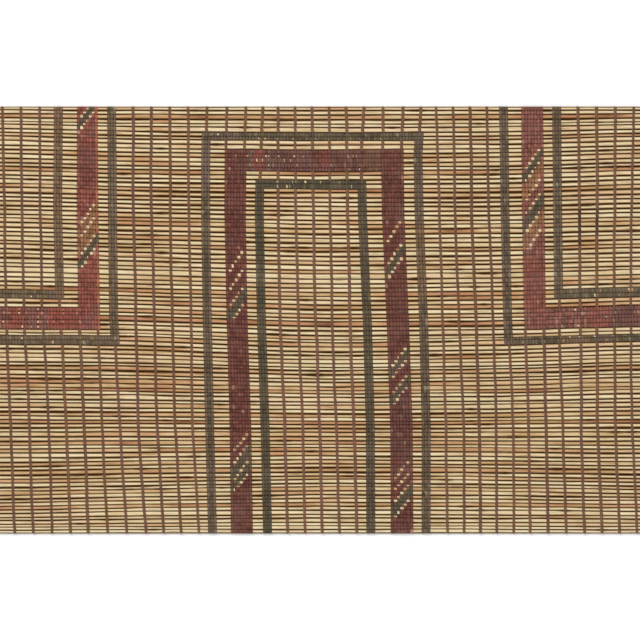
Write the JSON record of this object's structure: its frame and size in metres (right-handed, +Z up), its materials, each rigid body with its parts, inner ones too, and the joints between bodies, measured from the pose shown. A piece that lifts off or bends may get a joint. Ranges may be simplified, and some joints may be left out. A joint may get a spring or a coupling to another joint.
{
  "type": "reed and leather mat",
  "caption": "Flat cut length of a woven mat: straight dry reeds held side by side by twined leather thongs, with red and green leather bands in nested U shapes",
  "frame": {"origin": "on the surface that the mat lies on, under the middle of the cut length", "axes": "+X along the reeds, to the picture's right; +Y across the reeds, to the picture's top; +Z up, out of the worked face"},
  "size_m": [0.44, 0.294, 0.0041],
  "materials": {
    "reed": "satin straw, split and streaked",
    "brown_leather": "matt, worn, undyed brown",
    "green_leather": "matt, worn, dyed dark grey-green",
    "red_leather": "matt, worn, dyed brick to maroon"
  },
  "bodies": {
    "root": {"centre_inner_green_band": "green_leather", "centre_outer_green_band": "green_leather", "centre_red_band": "red_leather", "ground_thong_01_lower": "brown_leather", "ground_thong_01_upper": "brown_leather", "ground_thong_02_lower": "brown_leather", "ground_thong_02_upper": "brown_leather", "ground_thong_03_lower": "brown_leather", "ground_thong_03_upper": "brown_leather", "ground_thong_04": "brown_leather", "ground_thong_05": "brown_leather", "ground_thong_06": "brown_leather", "ground_thong_07": "brown_leather", "ground_thong_08": "brown_leather", "ground_thong_09": "brown_leather", "ground_thong_10": "brown_leather", "ground_thong_11": "brown_leather", "ground_thong_12": "brown_leather", "ground_thong_13": "brown_leather", "ground_thong_14": "brown_leather", "ground_thong_15": "brown_leather", "ground_thong_16_lower": "brown_leather", "ground_thong_16_upper": "brown_leather", "ground_thong_17_lower": "brown_leather", "ground_thong_17_upper": "brown_leather", "ground_thong_18_lower": "brown_leather", "ground_thong_18_upper": "brown_leather", "ground_thong_19_lower": "brown_leather", "ground_thong_19_upper": "brown_leather", "ground_thong_20_lower": "brown_leather", "ground_thong_20_upper": "brown_leather", "ground_thong_21": "brown_leather", "ground_thong_22": "brown_leather", "ground_thong_23": "brown_leather", "ground_thong_24": "brown_leather", "ground_thong_25": "brown_leather", "ground_thong_26": "brown_leather", "ground_thong_27": "brown_leather", "ground_thong_28": "brown_leather", "ground_thong_29": "brown_leather", "ground_thong_30": "brown_leather", "ground_thong_31": "brown_leather", "ground_thong_32": "brown_leather", "ground_thong_33_lower": "brown_leather", "ground_thong_33_upper": "brown_leather", "ground_thong_34_lower": "brown_leather", "ground_thong_34_upper": "brown_leather", "ground_thong_35_lower": "brown_leather", "ground_thong_35_upper": "brown_leather", "ground_thong_36_lower": "brown_leather", "ground_thong_36_upper": "brown_leather", "left_inner_green_band": "green_leather", "left_outer_green_band": "green_leather", "left_red_band": "red_leather", "reed_ground": "reed", "right_inner_green_band": "green_leather", "right_outer_green_band": "green_leather", "right_red_band": "red_leather"}
  },
  "joints": []
}
